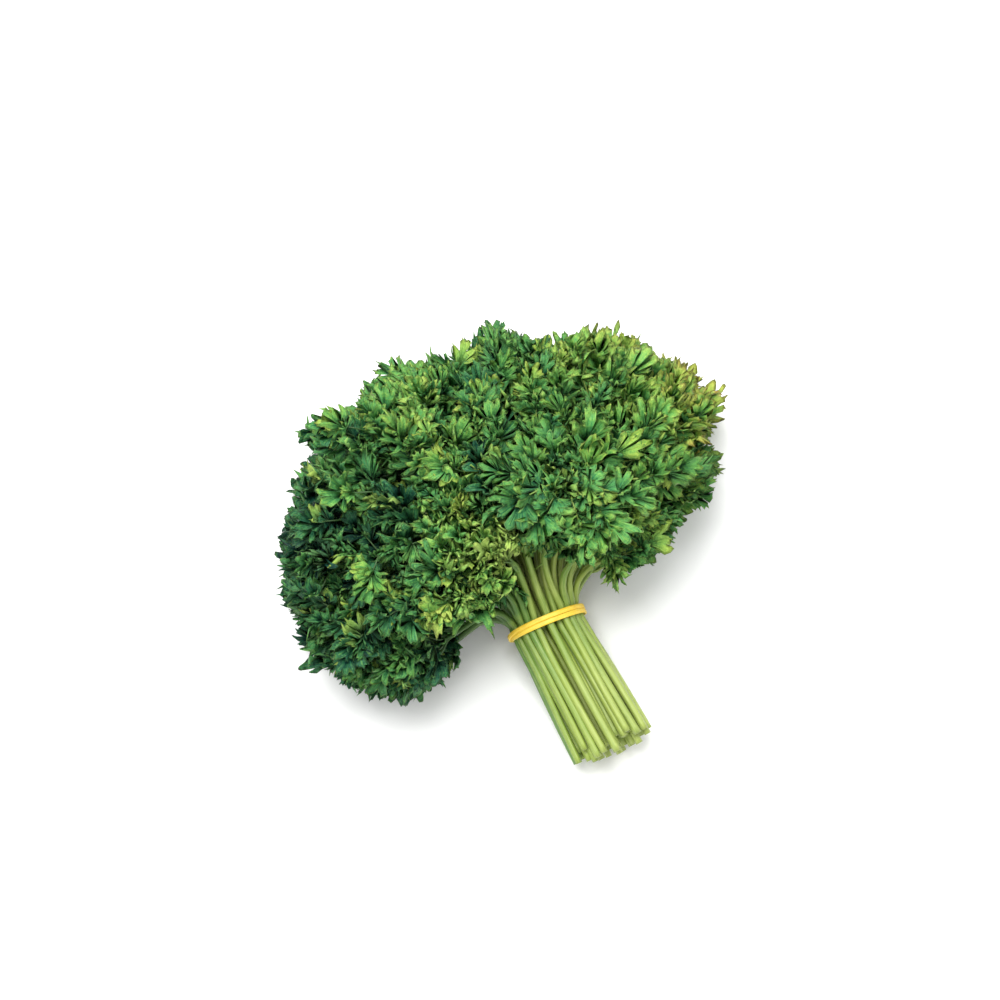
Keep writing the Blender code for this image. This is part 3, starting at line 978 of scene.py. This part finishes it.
def withinOutline(p, along, size, frond, values):
    # moves a leaflet so that its end keeps to the outline of the bunch and its stems stay bare
    length = values["leafletLength"] + sprigTree["rachis"] * sprigTree["frondStretch"] * frond
    reachOut, side = along * length * size, values["leafletSide"] * 1000
    lift, aside = 0, 0
    for (x, y), room in ((seenFromAbove(p + reachOut), side * 0.7), (seenFromAbove(p), side * 1.3)):
        if x > values["rightFrom"]:
            lift = max(lift, between(values["lowerEdge"], x) + room - y)
        elif y < values["archBelow"] and x < 20:
            aside = max(aside, x + room - between(values["archEdge"], y))
    p = p + (viewUp * lift - viewRight * aside) / 1000
    turn, reach = headingAndReach(p + reachOut)
    over = reach - between(values["outline"], turn)
    if turn < values["openingEnd"] and reach < between(values["opening"], turn):
        over = reach - between(values["opening"], turn)
    else:
        turn, reach = headingAndReach(p)
        over = max(0, over, reach + side - between(values["outline"], turn))
    p = p - headingVector(turn) * over / 1000
    end = p + reachOut
    highest, furthest = values["limits"]
    return p - Vector((0, max(0, end.y - furthest), max(0, end.z - highest)))


def leafletPose(p, sprig, outer, order, rng):
    # which way a leaflet grows and faces, with more order at the right than at the left
    radial = (p - neckPoint).normalized()
    beside = besideAxis(sprig, p) / 0.016
    if beside.length > 1:
        beside.normalize()
    stray = randomDirection(rng)
    along = radial * ((0.60 if outer else 0.9) + 0.5 * order) + beside * (0.85 - 0.35 * order)
    along = along + stray * (0.42 - 0.12 * order)
    if p.z < 0.012:
        along.z = max(along.z, 0.05)
    along.normalize()
    facing = radial * (0.50 - 0.1 * order) + viewBack * (0.70 + 0.1 * order)
    return along, squareTo(along, facing + randomDirection(rng) * 0.55)


def rightward(p):
    return clip((p.x + 0.09) / 0.17)


def leafToneAndPaintedLight(p, border, depth, rng):
    # painted light and shade: the left side is painted a deeper, bluer green and the top and the right a
    # lighter, yellower one, as if lit from the upper right, and the borders between crowns and the leaflets
    # that lie deeper are painted darker as painted shade
    right, back = rightward(p), clip((p.y + 0.08) / 0.17)
    tint, warm, dry, _ = patchSums(p)
    tint += 0.12 + 0.40 * right ** 0.7 + 0.15 * back - 0.09 * border * (1 - 0.5 * right)
    tint -= (6.5 - 4.0 * right) * (depth - 0.011)
    warm += 0.18 + 0.36 * right + 0.07 * back
    tint, warm = tint + rng.gauss(0, 0.065), warm + rng.gauss(0, 0.10)
    return [max(-0.15, tint), clip(warm), dry * rng.uniform(0.4, 1.3)]


def leafletAt(p, outer, border, depth, sprig, sprigTint, rng, values):
    # a leaflet that starts at this place, and how far it is sunk into a gap in millimetres
    order = rightward(p) ** 1.3
    along, facing = leafletPose(p, sprig, outer, order, rng)
    broad = float(outer and rng.random() < 0.35 * fade(*seenFromAbove(p), *longLobes))
    size = rng.choice(values["sizes"]) * rng.uniform(0.93, 1.07)
    size *= 1.11 + 0.08 * order + 0.10 * broad
    frond = clip(0.45 + 0.55 * order + rng.gauss(0, 0.25)) if outer else 0.0
    halfway = along * values["leafletLength"] * size * 0.55
    sunk = patchSums(p + halfway)[3] if outer else 0
    p = p - viewBack * sunk / 1000
    for _ in range(2):
        p = withinOutline(p, along, size, frond, values)
    tint, *others = leafToneAndPaintedLight(p + halfway, border, depth, rng)
    segments = values["frondSegments"] if frond > values["frondFrom"] else rng.choice(values["segments"])
    return Leaflet(p, along, facing, size, tint + sprigTint, *others, segments, broad, frond), sunk


def leftOfNeck(p):
    # 0 in the middle of the neck and right of it, 1 at its left edge, where the stems are darker
    x, y = seenFromAbove(p)
    headX, headY = seenFromAbove(neckPoint + bunch["neckAxis"])
    beside = (x * headY - y * headX) / math.hypot(headX, headY)
    return clip((-0.5 - beside) / 11)


def stemCourse(sprig, rng, values):
    # the stem from its cut end into the crown, bent to where its leaves are, and its last leaflet
    course = throughPoints([*sprig["stem"], *sprig["crown"][1:4]], values["stemStep"])
    along = (course[-1] - course[-5]).normalized()
    size, frond = 0.9, 0.4
    end = withinOutline(course[-1], along, size, frond, values)
    turn, reach = headingAndReach(end)
    if turn < values["tipCoverEnd"]:
        bare = max(0, between(values["opening"], turn) + values["tipCover"] - reach) / 1000
        end = end + (headingVector(turn) - viewBack * 0.3) * bare
    tooLong = round((course[-1] - end).dot(along) / values["stemStep"])
    course = course[:len(course) - min(8, max(0, tooLong))]
    shift = end - course[-1]
    neck = min(range(len(course)), key=lambda k: (course[k] - neckPoint).length)
    for k in range(neck, len(course)):
        course[k] = course[k] + shift * ((k - neck) / (len(course) - 1 - neck)) ** 1.5
    for k in range(neck):
        # below the band the stems bow a little
        bow = math.sin((neck - k) / 9 + sprig["axis"].x * 37 + sprig["axis"].y * 53)
        course[k] = course[k] + viewRight * bow * values["stemBow"] * min(1, (neck - k) / 12)
    facing = squareTo(along, viewBack + randomDirection(rng) * 0.5)
    last = Leaflet(end, along, facing, size, *leafToneAndPaintedLight(end, 0.5, 0.014, rng), 5, 0.0, frond)
    return course, course[neck:], last


def twigLine(sprig, upperStem, p, along, size, frond):
    # from the stem in a bow to the leaflet, then through it as its rachis
    axis = sprig["axis"]
    away = (p - neckPoint).dot(axis)
    off = (p - neckPoint - axis * away).length
    wanted = max(sprig["crownStart"] * 0.75, away - off * 1.1 - 0.006)
    start = min(upperStem, key=lambda q: abs((q - neckPoint).dot(axis) - wanted))
    start = start + axis * max(0, wanted - (start - neckPoint).dot(axis))
    bow = start + axis * (p - start).length * 0.45
    ease = p - along * (p - start).length * 0.35
    line = []
    for t in (0, 0.3, 0.6, 0.85, 1):
        line.append(start * (1 - t) ** 3 + bow * 3 * t * (1 - t) ** 2
                    + ease * 3 * t * t * (1 - t) + p * t ** 3)
    return [*line, p + along * sprigTree["rachis"] * (1 + sprigTree["frondStretch"] * frond) * size * 0.8]


def mapPlace(number, twigs):
    # where on the map for baking the stem goes, as number 0, and in rows above it the twigs
    share, rows = sprigTree["stemShare"], 3
    if number == 0:
        return (0.004, 0.004, 0), (0.992, share * 0.52, 0)
    columns = max(1, math.ceil(twigs / rows))
    row, column = divmod(number - 1, columns)
    high = share * 0.44 / rows
    low = ((column + 0.06) / columns, share * 0.55 + high * row + 0.002, 0)
    return low, (0.88 / columns, high - 0.004, 0)


def greenness(q, away, share, isStem):
    # how green a stem is, from pale at its cut end and right of the neck to deep in the crown; around the
    # neck it is made paler, as painted light against the shade of the head
    left = leftOfNeck(q)
    climb = clip(0.24 + (away + 0.03) * (10.5 if away < -0.03 else 1.0))
    climb += (0.80 + 0.45 * clip((away + 0.004) / 0.020)) * left - 0.14
    # painted light: paler around the neck, where the head shades the stems
    climb -= 0.42 * math.exp(-((away - 0.004) / 0.017) ** 2) * (1 - left)
    return climb + (0.7 * max(0, share - 0.7) / 0.3 if isStem else 0.5)


def addAttribute(mesh, name, kind, values):
    layer = mesh.attributes.new(name, kind, "POINT")
    field = "vector" if kind == "FLOAT_VECTOR" else "value"
    for place, value in enumerate(values):
        if value is not None:
            setattr(layer.data[place], field, value)


def sprigSkeleton(name, sprig, leaflets, rng, values):
    # the stem and twigs as chains of edges, and each leaflet as a loose point
    course, upperStem, last = stemCourse(sprig, rng, values)
    leaflets.append(last)
    points, edges, marks = [], [], []
    ownTint = rng.random()
    twigs = [twigLine(sprig, upperStem, leaf.place, leaf.along, leaf.size, leaf.frond) for leaf in leaflets]
    for number, line in enumerate([course, *twigs]):
        isStem = number == 0
        low, span = mapPlace(number, len(twigs))
        lengths = [0.0]
        for a, b in zip(line, line[1:]):
            lengths.append(lengths[-1] + (b - a).length)
        for k, q in enumerate(line):
            share = lengths[k] / lengths[-1]
            away = (q - neckPoint).length
            if isStem and k < len(course) - len(upperStem):
                away = -away
            if isStem:
                rise = clip((away - 0.01) / sprig["crownStart"])
                thick = values["stemRadius"] + (values["crownStemRadius"] - values["stemRadius"]) * rise
                thick *= (1 - 0.6 * max(0, share - 0.85) / 0.15) * (0.87 + 0.26 * ownTint)
            else:
                thick = values["twigRadius"] * (1.5 - 0.9 * share)
            climb = greenness(q, away, share, isStem)
            if k:
                edges.append((len(points) - 1, len(points)))
            q = Vector((q.x, q.y, max(q.z, thick * 1.15 + 0.0002)))
            points.append(q)
            marks.append({"isStem": isStem, "ringMiddle": q[:], "thick": thick, "run": lengths[k],
                          "share": share, "climb": climb, "stemTint": ownTint if isStem else rng.random(),
                          "mapLow": low, "mapSize": span})
    for leaflet in leaflets:
        points.append(leaflet.place)
        marks.append({"leaflet": True, **dict(zip(Leaflet._fields[1:], leaflet[1:]))})
    mesh = bpy.data.meshes.new(name)
    mesh.from_pydata([p[:] for p in points], edges, [])
    kinds = {"leaflet": "BOOLEAN", "isStem": "BOOLEAN", "segments": "INT",
             **{key: "FLOAT_VECTOR" for key in ("along", "facing", "ringMiddle", "mapLow", "mapSize")}}
    for key in {**marks[-1], **marks[0]}:
        addAttribute(mesh, key, kinds.get(key, "FLOAT"), [mark.get(key) for mark in marks])
    return mesh


def grown(name, mesh, tree, inputs):
    # runs the tree on the mesh and gives back what grows as a plain mesh object
    helper = placed(name + "Skeleton", mesh)
    modifier = helper.modifiers.new("growth", "NODES")
    modifier.node_group = tree
    for key, value in inputs.items():
        setInput(modifier, key, value)
    graph = bpy.context.evaluated_depsgraph_get()
    made = bpy.data.meshes.new_from_object(helper.evaluated_get(graph), depsgraph=graph)
    bpy.data.objects.remove(helper)
    # the materials read only these, and the rest was for the tree
    kept = {"edge", "outward", "under", "tint", "dry", "own", "warm", "around", "run", "stemTint", "cutFace",
            "climb", "OFBake", "material_index"}
    for key in [layer.name for layer in made.attributes]:
        layer = made.attributes[key]
        if key not in kept and not layer.is_internal and not layer.is_required:
            made.attributes.remove(layer)
    made.name = name
    return placed(name, made)


rng = random.Random(foliage["seed"])
chosen = chosenLeaves(standOut, random.Random(foliage["seed"] + 1), foliage)
taken = [leaflet.place for found in chosen.values() for leaflet in found]
triangleCount, leafletCount = 0, 0
for number, sprig in enumerate(sprigs):
    leaflets = chosen.get(number, [])
    sprigTint = rng.gauss(0, 0.035)
    for spot in leafletSpots(sprig, taken, rng, foliage):
        leaflet, sunk = leafletAt(*spot, sprig, sprigTint, rng, foliage)
        if sunk < foliage["gapDepth"]:
            leaflets.append(leaflet)
    mesh = sprigSkeleton(f"{sprig['name']}_leaves", sprig, leaflets, rng, foliage)
    cells = sum(leaflet.segments for leaflet in leaflets)
    columns = max(2, math.ceil(math.sqrt(cells / 1.6)))
    piece = grown(f"parsley_{number + 1:02d}", mesh, sprigGrowth, {
        "columns": columns, "rows": math.ceil(cells / columns), "seed": sprigTree["seed"] + 17 * number,
        "segments": segmentKinds, "leaf": leafFinish, "stem": stemFinish})
    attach(piece, "root")
    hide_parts(sprig["name"])
    triangleCount += sum(len(f.vertices) - 2 for f in piece.data.polygons)
    leafletCount += len(leaflets)
print("  leaflets:", leafletCount, "triangles:", triangleCount)

print("winding the rubber band")

bandLook = {
    "deep": (0.540, 0.250, 0.008),
    "golden": (0.840, 0.540, 0.024),
    "light": (0.960, 0.780, 0.150),
    "streakScale": 3.0,
    "blotchScale": 260,
    "fineScale": 2600,
    "roughness": 0.36,
    "specular": 0.5,
    "bumpStrength": 0.35,
    "bumpDepth": 0.0002,
}
bandShape = {
    "strandWidth": 0.00215,
    "strandThickness": 0.00105,
    "rounding": 0.00035,
    "crossing": 0.42,         # how far around the two windings change sides, in radians
    "crossingPlace": 190.0,   # degrees from the right-hand end
    "bow": 0.0013,            # how far its front bulges towards the head
    "uneven": 0.05,           # how much its width changes
    "ripple": 0.00012,        # how far its line wanders along the stems
    "steps": 260,
    "seed": 5,
}


def bandMaterial(values):
    material, graph = newMaterial("yellowRubber")
    run, around = attributes(graph, "run", "around")
    streaks = noise(graph, roundPlace(graph, around, 1.2, run * 60), values["streakScale"], 3, 0.6)
    blotch, fine = (noise(graph, objectPlace(graph), values[key]) for key in ("blotchScale", "fineScale"))
    colour = graph.mix(((streaks - 0.42) * 3.2).clipped(), values["golden"], values["light"])
    colour = graph.mix(((0.50 - blotch) * 3.0).clipped() * 0.45, colour, values["deep"])
    return finished(material, graph, values, colour,
                    values["roughness"] + streaks * 0.16 + fine * 0.05, streaks * 0.8 + fine * 0.3)


def bandGraph(values, look):
    tree, graph, wires = newTree("bandStrand", {
        **{key: values[key] for key in ("strandWidth", "strandThickness", "rounding")}, "look": look})
    lines = graph.add("GeometryNodeMeshToCurve", None, {"Mesh": wires["Geometry"]})
    lines = graph.add("GeometryNodeSetCurveNormal", {"mode": "FREE"},
                      {"Curve": lines, "Normal": named(graph, "outwards", "FLOAT_VECTOR")})
    profile = graph.add("GeometryNodeCurvePrimitiveQuadrilateral", None,
                        {"Width": wires["strandThickness"], "Height": wires["strandWidth"]})
    profile = graph.add("GeometryNodeFilletCurve", {"mode": "POLY"},
                        {"Curve": profile, "Count": 2, "Radius": wires["rounding"]})
    profile = stored(graph, profile, "around", graph.add("GeometryNodeSplineParameter", output="Factor"))
    made = tubes(graph, lines, profile, False)
    made = graph.add("GeometryNodeSetMaterial", None, {"Geometry": made, "Material": wires["look"]})
    closeTree(graph, made)
    return tree


def bandLoop(values):
    # one closed loop that goes twice around the stems and changes sides on its left
    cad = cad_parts["rubber_band"].data
    side = Vector((bunch["neckAxis"].y, -bunch["neckAxis"].x, 0)).normalized()
    rise = side.cross(bunch["neckAxis"])
    offs = [v.co - bunch["bandMiddle"] for v in cad.vertices]
    wide, high = (max(off.dot(way) for off in offs) - values["strandThickness"] / 2 for way in (side, rise))
    rng = random.Random(values["seed"])
    waves = [(rng.randint(2, 9), rng.uniform(0, math.tau)) for _ in range(4)]
    points, outwards, thick, run = [], [], [], []
    for k in range(values["steps"]):
        t = 2 * math.tau * k / values["steps"]
        angle = math.radians(values["crossingPlace"]) + t
        swap = math.tanh(math.sin(t / 2) / (values["crossing"] / 2))
        lift = math.exp(-((t - math.tau) / values["crossing"]) ** 2) * values["strandThickness"] * 1.1
        ripple = sum(math.sin(n * t / 2 + phase) for n, phase in waves) / len(waves)
        out = (side * math.cos(angle) / wide + rise * math.sin(angle) / high).normalized()
        slide = swap * values["strandWidth"] * 0.51 + values["bow"] * max(0, math.sin(angle)) ** 0.7
        points.append(bunch["bandMiddle"] + side * wide * math.cos(angle) + rise * high * math.sin(angle)
                      + out * lift + bunch["neckAxis"] * (slide + ripple * values["ripple"]))
        outwards.append(out)
        thick.append(1 + values["uneven"] * ripple)
        run.append((points[-1] - points[-2]).length + run[-1] if k else 0.0)
    mesh = bpy.data.meshes.new("bandLoop")
    steps = values["steps"]
    mesh.from_pydata([p[:] for p in points], [(k, (k + 1) % steps) for k in range(steps)], [])
    share = [k / steps for k in range(steps)]
    for name, data in (("thick", thick), ("run", run), ("share", share)):
        addAttribute(mesh, name, "FLOAT", data)
    for name, data in (("outwards", outwards), ("ringMiddle", points),
                       ("mapLow", [(0.01, 0.01, 0)] * steps), ("mapSize", [(1.03, 0.98, 0)] * steps)):
        addAttribute(mesh, name, "FLOAT_VECTOR", data)
    return mesh


bandFinish = bandMaterial(bandLook)
piece = grown("rubberBand", bandLoop(bandShape), bandGraph(bandShape, bandFinish), {"look": bandFinish})
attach(piece, "root")
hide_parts("rubber_band")

print("setting the stage")

stage = {
    "floorColour": (0.95, 0.95, 0.95),
    "floorReach": 40.0,
    "keyPower": 24.0,
    "keySize": 0.8,
    "keyPlace": Vector((-0.22, 0.27, 1.4)),
    "keyAim": Vector((-0.02, 0.01, 0.03)),
    "sky": 0.97,
    "roughness": 0.9,
    "specular": 0.2,
}


def aim(thing, direction):
    thing.rotation_mode = "QUATERNION"
    thing.rotation_quaternion = direction.to_track_quat("-Z", "Y")


def addCamera(values):
    across, down = (place - values["pictureSize"] / 2 for place in values["bandPixel"])
    target = bunch["bandMiddle"] - viewRight * across * values["scale"] + viewUp * down * values["scale"]
    camera = placed("camera", bpy.data.cameras.new("camera"))
    camera.location = target + viewBack * values["distance"]
    aim(camera, -viewBack)
    camera.data.sensor_width = values["sensor"]
    camera.data.lens = values["sensor"] * values["distance"] / (values["pictureSize"] * values["scale"])
    scene.camera = camera


def addFloor(values):
    far, colour = values["floorReach"], values["floorColour"]
    mesh = bpy.data.meshes.new("floor")
    mesh.from_pydata([(-far, -far, 0), (far, -far, 0), (far, far, 0), (-far, far, 0)], [], [(0, 1, 2, 3)])
    material, graph = newMaterial("paleFloor")
    soft = noise(graph, objectPlace(graph), 900)
    mixed = graph.mix(soft * 0.05, colour, tuple(c * 0.96 for c in colour))
    mesh.materials.append(finished(material, graph, values, mixed, values["roughness"]))
    placed("floor", mesh)


def addLights(values):
    lamp = bpy.data.lights.new("softKey", "AREA")
    lamp.energy, lamp.size = values["keyPower"], values["keySize"]
    key = placed("softKey", lamp)
    key.location = values["keyPlace"]
    aim(key, values["keyAim"] - values["keyPlace"])
    world = bpy.data.worlds.new("studio")
    world.use_nodes = True
    background = world.node_tree.nodes["Background"]
    background.inputs["Color"].default_value = (1, 1, 1, 1)
    background.inputs["Strength"].default_value = values["sky"]
    scene.world = world


addCamera(view)
addFloor(stage)
addLights(stage)
scene.view_settings.view_transform = "Standard"
